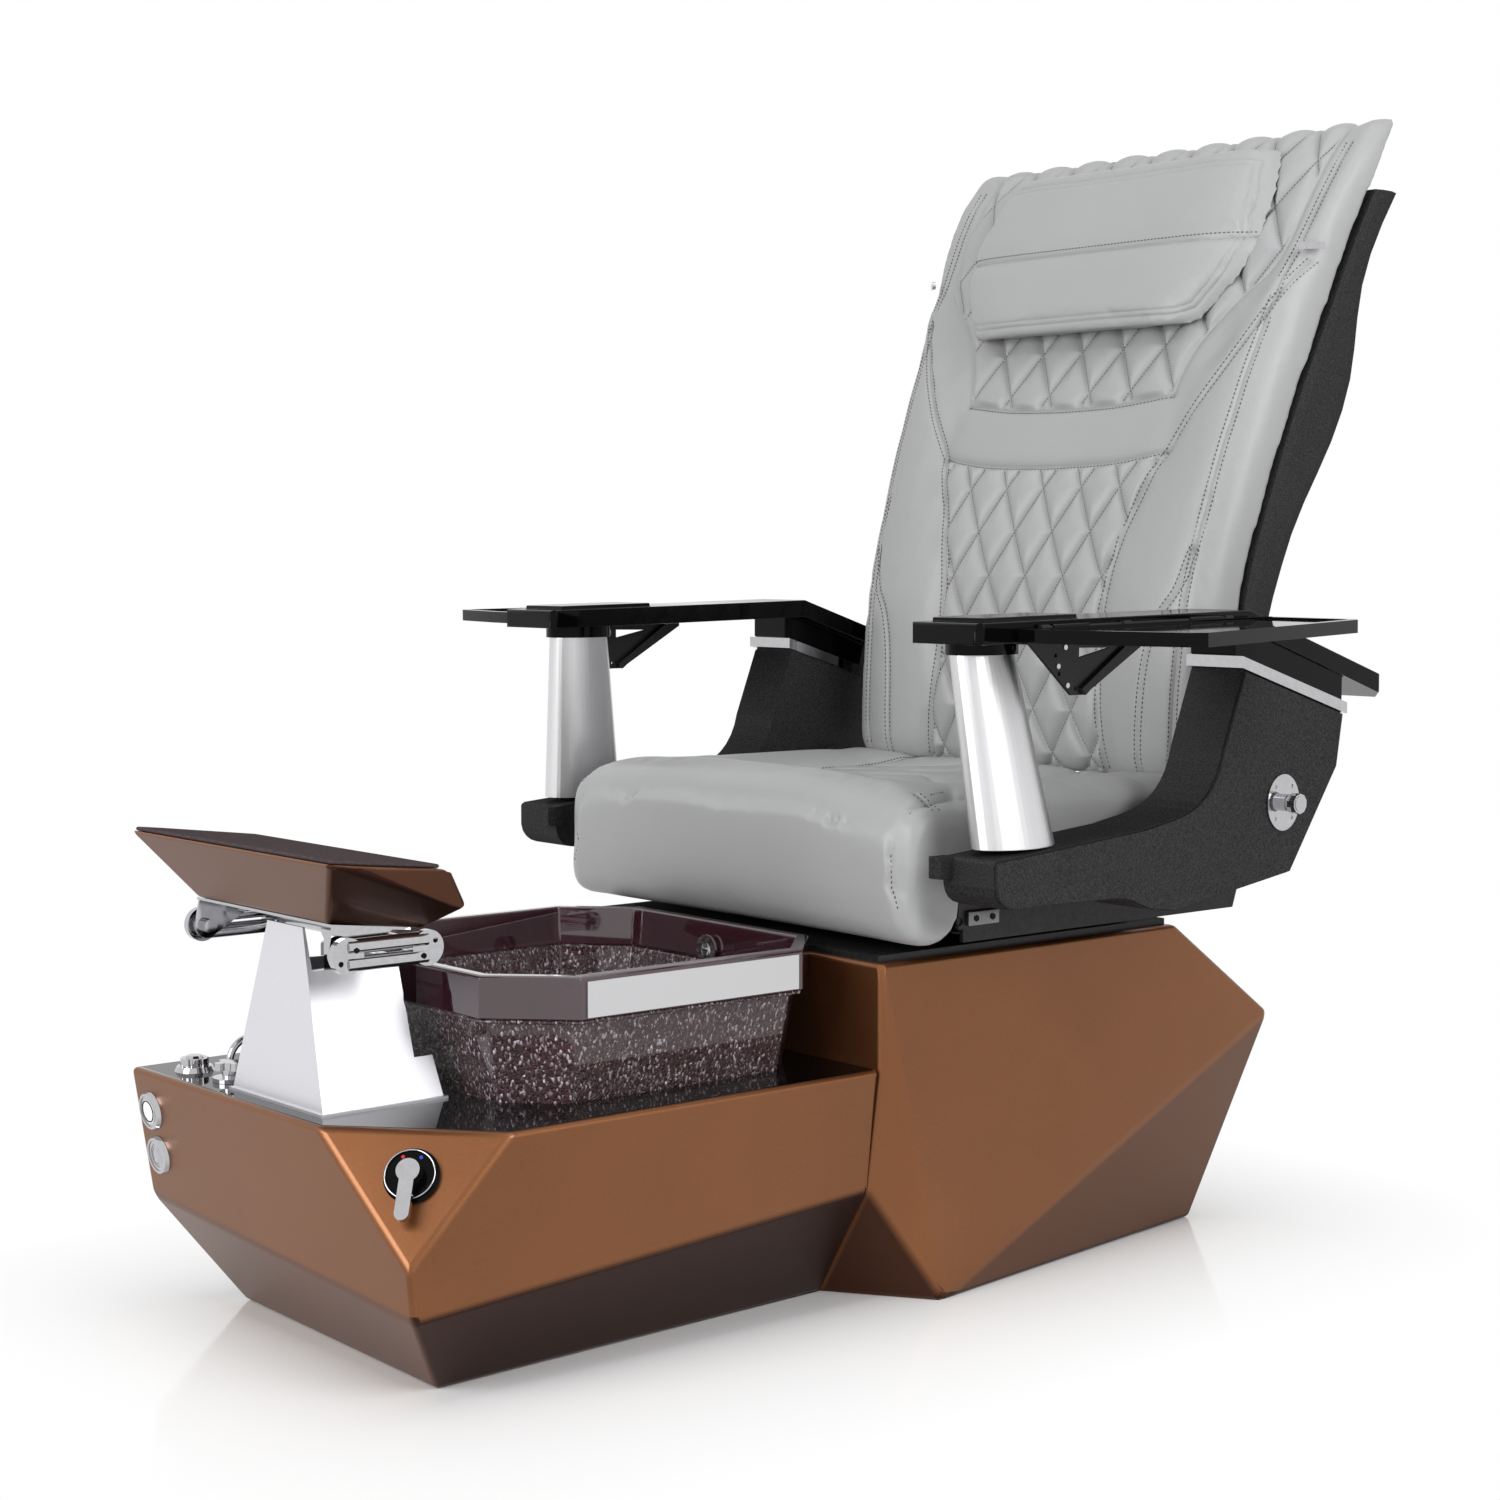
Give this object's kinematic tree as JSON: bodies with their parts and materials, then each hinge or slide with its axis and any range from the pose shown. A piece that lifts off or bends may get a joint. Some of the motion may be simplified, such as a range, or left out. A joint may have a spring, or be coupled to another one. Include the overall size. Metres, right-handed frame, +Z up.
{
  "type": "pedicure spa chair",
  "caption": "Pedicure spa chair with a faceted foot-bath base, adjustable footrest, sliding and reclining massage seat, and lift-up arms with flip-up trays.",
  "frame": {"origin": "on the floor, under the middle of the base's width, 0.7 m behind the front edge of the deck", "axes": "+Z up, -Y towards the footrest and the technician, +X to the sitter's left"},
  "size_m": [1.444, 1.6126, 1.5],
  "materials": {
    "board": "moulded floor board",
    "copper": "metallic bronze lacquer",
    "gloss_black": "polished black",
    "matte_black": "satin black",
    "painted_black": "semi-gloss black",
    "textured_black": "fine grained black",
    "zinc_steel": "zinc plated",
    "stainless": "brushed",
    "silver": "satin",
    "chrome": "polished",
    "white_plastic": "moulded",
    "bowl_glass": "dark crackled resin",
    "bowl_rim": "dark plum gloss",
    "foot_pad": "soft matte",
    "roller_rubber": "moulded",
    "leather": "soft grained"
  },
  "bodies": {
    "base": {"base_board": "board", "base_shell": "copper", "pedestal_shell": "copper", "deck_plate": "gloss_black", "seat_base_plate": "matte_black", "slide_rails": "zinc_steel", "slide_actuator_body": "matte_black", "bowl": "bowl_glass", "bowl_rim": "bowl_rim", "rim_plates": "silver", "jet_housing": "chrome", "drain_fitting": "chrome", "drain_pump": "matte_black", "control_box": "matte_black", "valve_body": "chrome", "button_bezels": "chrome", "deck_spout": "chrome", "spray_dock": "chrome", "footrest_base_plate": "stainless", "footrest_post": "stainless", "footrest_head": "matte_black"},
    "valve_lever": {"valve_lever": "chrome"},
    "button_jet": {"button_jet": "white_plastic"},
    "button_drain": {"button_drain": "chrome"},
    "diverter_knob": {"diverter_knob": "chrome"},
    "hand_spray": {"hand_spray": "chrome"},
    "jet_impeller": {"jet_impeller": "matte_black"},
    "footrest_links": {"footrest_links": "stainless"},
    "footrest": {"footrest_bracket": "stainless", "footrest_block": "copper", "footrest_pad": "foot_pad"},
    "seat": {"slide_carriage": "zinc_steel", "seat_frame": "matte_black", "slide_actuator_rod": "stainless", "seat_cushion": "leather", "recline_motor": "matte_black"},
    "back": {"back_frame": "matte_black", "back_shell": "textured_black", "back_cushion": "leather", "massage_rails": "stainless", "pillow_clips": "chrome"},
    "massage_carriage": {"massage_carriage": "matte_black"},
    "massage_rollers": {"massage_rollers": "roller_rubber"},
    "pillow": {"pillow": "leather"},
    "arm_left": {"arm_housing_left": "textured_black", "arm_post_left": "stainless", "armrest_left": "gloss_black", "arm_trim_left": "chrome", "knob_plate_left": "chrome", "tray_bracket_left": "painted_black"},
    "pull_knob_left": {"pull_knob_left": "chrome"},
    "tray_left": {"tray_left": "gloss_black"},
    "arm_right": {"arm_housing_right": "textured_black", "arm_post_right": "stainless", "armrest_right": "gloss_black", "arm_trim_right": "chrome", "knob_plate_right": "chrome", "tray_bracket_right": "painted_black"},
    "pull_knob_right": {"pull_knob_right": "chrome"},
    "tray_right": {"tray_right": "gloss_black"}
  },
  "joints": [
    {"name": "seat_slide", "type": "slide", "parent": "base", "child": "seat", "axis": [0, 1, 0], "range_m": [0, 0.1]},
    {"name": "backrest_recline", "type": "hinge", "parent": "seat", "child": "back", "pos_m": [0, 0.59, 0.506], "axis": [-1, 0, 0], "range_deg": [0, 30]},
    {"name": "arm_lift_left", "type": "hinge", "parent": "seat", "child": "arm_left", "pos_m": [0.4, 0.508, 0.594], "axis": [-1, 0, 0], "range_deg": [0, 50]},
    {"name": "pull_knob_left_slide", "type": "slide", "parent": "arm_left", "child": "pull_knob_left", "axis": [1, 0, 0], "range_m": [0, 0.008], "stiffness_N_per_m": 900, "springref_m": -0.004},
    {"name": "tray_flip_left", "type": "hinge", "parent": "arm_left", "child": "tray_left", "pos_m": [0.4756, 0.026, 0.823], "axis": [0, -0.9998, -0.0175], "range_deg": [0, 95]},
    {"name": "arm_lift_right", "type": "hinge", "parent": "seat", "child": "arm_right", "pos_m": [-0.4, 0.508, 0.594], "axis": [-1, 0, 0], "range_deg": [0, 50]},
    {"name": "pull_knob_right_slide", "type": "slide", "parent": "arm_right", "child": "pull_knob_right", "axis": [-1, 0, 0], "range_m": [0, 0.008], "stiffness_N_per_m": 900, "springref_m": -0.004},
    {"name": "tray_flip_right", "type": "hinge", "parent": "arm_right", "child": "tray_right", "pos_m": [-0.4756, 0.026, 0.823], "axis": [0, 0.9998, 0.0175], "range_deg": [0, 95]},
    {"name": "pillow_slide", "type": "slide", "parent": "back", "child": "pillow", "axis": [0, 0.3714, 0.9285], "range_m": [0, 0.03]},
    {"name": "massage_travel", "type": "slide", "parent": "back", "child": "massage_carriage", "axis": [0, 0.3714, 0.9285], "range_m": [0, 0.13]},
    {"name": "massage_roller_spin", "type": "hinge", "parent": "massage_carriage", "child": "massage_rollers", "pos_m": [0, 0.66454, 0.98405], "axis": [1, 0, 0], "continuous": true},
    {"name": "footrest_lift", "type": "hinge", "parent": "base", "child": "footrest_links", "pos_m": [0, -0.573, 0.477], "axis": [-1, 0, 0], "range_deg": [0, 35]},
    {"name": "footrest_tilt", "type": "hinge", "parent": "footrest_links", "child": "footrest", "pos_m": [0, -0.675, 0.477], "axis": [1, 0, 0], "range_deg": [0, 25]},
    {"name": "valve_turn", "type": "hinge", "parent": "base", "child": "valve_lever", "pos_m": [0.24234, -0.64539, 0.24567], "axis": [0.5547, -0.6155, 0.5599], "range_deg": [0, 90]},
    {"name": "button_jet_press", "type": "slide", "parent": "base", "child": "button_jet", "axis": [0, 0.9911, 0.1328], "range_m": [0, 0.003], "stiffness_N_per_m": 400, "springref_m": -0.002},
    {"name": "button_drain_press", "type": "slide", "parent": "base", "child": "button_drain", "axis": [0, 0.9911, 0.1328], "range_m": [0, 0.003], "stiffness_N_per_m": 400, "springref_m": -0.002},
    {"name": "diverter_turn", "type": "hinge", "parent": "base", "child": "diverter_knob", "pos_m": [-0.143, -0.651, 0.29], "axis": [0, 0, 1], "range_deg": [-90, 90]},
    {"name": "hand_spray_pull", "type": "slide", "parent": "base", "child": "hand_spray", "axis": [0, 0, 1], "range_m": [0, 0.125]},
    {"name": "jet_spin", "type": "hinge", "parent": "base", "child": "jet_impeller", "pos_m": [0, 0, 0.404], "axis": [0, 1, 0], "continuous": true}
  ]
}
